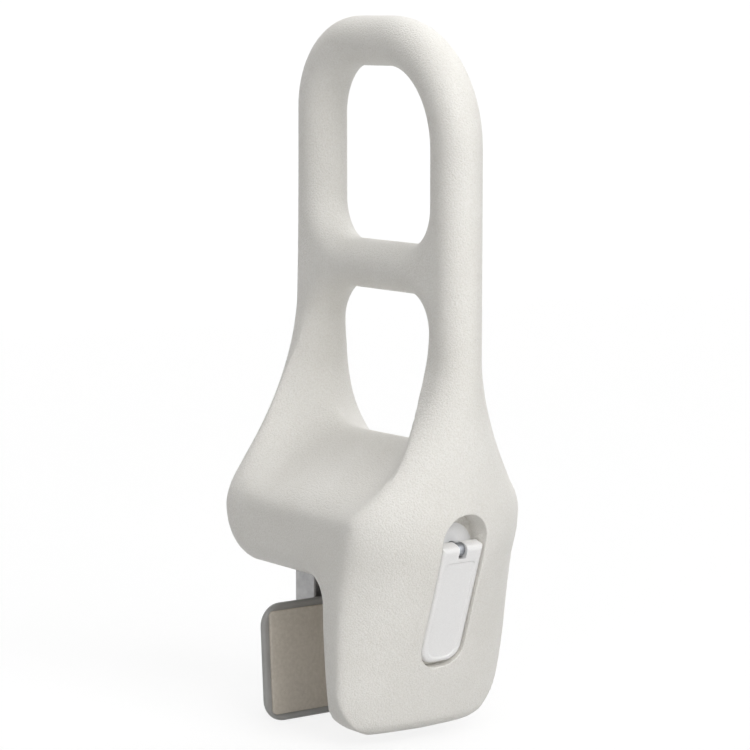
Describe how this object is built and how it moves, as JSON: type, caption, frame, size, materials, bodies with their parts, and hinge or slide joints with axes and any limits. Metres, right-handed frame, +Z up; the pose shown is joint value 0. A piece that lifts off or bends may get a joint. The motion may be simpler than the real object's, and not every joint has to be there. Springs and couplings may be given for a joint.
{
  "type": "bath safety rail",
  "caption": "Moulded handle with upper and lower grip loops over a saddle that clamps on a bath tub wall, with a flush cam lever in front and a padded jaw behind.",
  "frame": {"origin": "middle of the flat seat under the saddle, where the rail rests on the tub rim", "axes": "+X across the rail to its right as seen from the room, +Y from the room towards the bath, +Z up along the handle"},
  "size_m": [0.1434, 0.2025, 0.4951],
  "materials": {
    "moulding": "fine pebbled moulded polyethylene, cream white",
    "lever_white": "smooth satin moulded plastic, cool white",
    "washer_white": "smooth acetal disc",
    "zinc_steel": "bright zinc plated",
    "arm_steel": "satin stainless sheet",
    "plate_grey": "dark grey satin coat",
    "pad_rubber": "matt moulded rubber, warm grey",
    "bush_nylon": "natural nylon",
    "shoe_nylon": "black nylon"
  },
  "bodies": {
    "rail": {"body": "moulding", "inner_pad": "pad_rubber", "rod_bush": "bush_nylon", "guide_channel": "zinc_steel", "guide_screws": "zinc_steel", "cam_washer": "washer_white"},
    "rod": {"pull_rod": "zinc_steel", "stop_nut": "zinc_steel"},
    "lever": {"cam_lever": "lever_white", "pivot_pin": "zinc_steel"},
    "jaw": {"jaw_arm": "arm_steel", "glide_shoe": "shoe_nylon", "rod_insert": "zinc_steel", "jaw_plate": "plate_grey", "plate_rivets": "zinc_steel", "jaw_pad": "pad_rubber"}
  },
  "joints": [
    {"name": "lever_swing", "type": "hinge", "parent": "rod", "child": "lever", "pos_m": [0, -0.0935, 0.0253], "axis": [-1, 0, 0], "range_deg": [0, 100]},
    {"name": "rod_pull", "type": "slide", "parent": "rail", "child": "rod", "axis": [0, 1, 0], "range_m": [0, 0.00261]},
    {"name": "jaw_adjust", "type": "slide", "parent": "rod", "child": "jaw", "axis": [0, 1, 0], "range_m": [-0.038, 0.001]}
  ],
  "couplings": [
    {"joint": "rod_pull", "follows": "lever_swing", "m_per_rad": 0.0014897}
  ]
}
